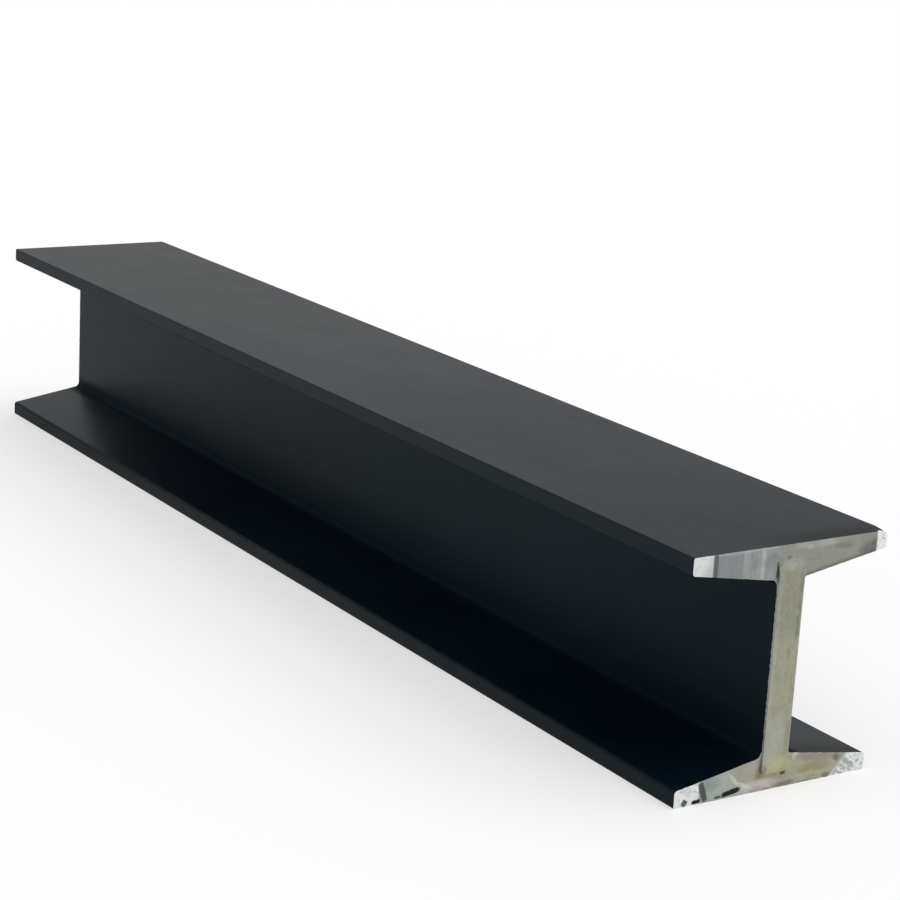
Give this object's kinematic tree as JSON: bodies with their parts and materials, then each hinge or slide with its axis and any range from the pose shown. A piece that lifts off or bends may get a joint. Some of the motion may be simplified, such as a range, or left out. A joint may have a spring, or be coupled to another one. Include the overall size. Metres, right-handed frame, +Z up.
{
  "type": "steel i-beam",
  "caption": "Short length of hot-rolled steel I-beam with tapered flanges, painted dark, with one bare sawn end.",
  "frame": {"origin": "on the underside of the lower flange, below the middle of the length", "axes": "+X along the beam towards its bare end, +Y across the flanges, +Z up from the lower flange to the upper one"},
  "size_m": [0.66, 0.097, 0.1016],
  "materials": {
    "painted_steel": "charcoal satin paint on the rolled faces, bare sawn steel at one end"
  },
  "bodies": {
    "root": {"i_beam": "painted_steel"}
  },
  "joints": []
}
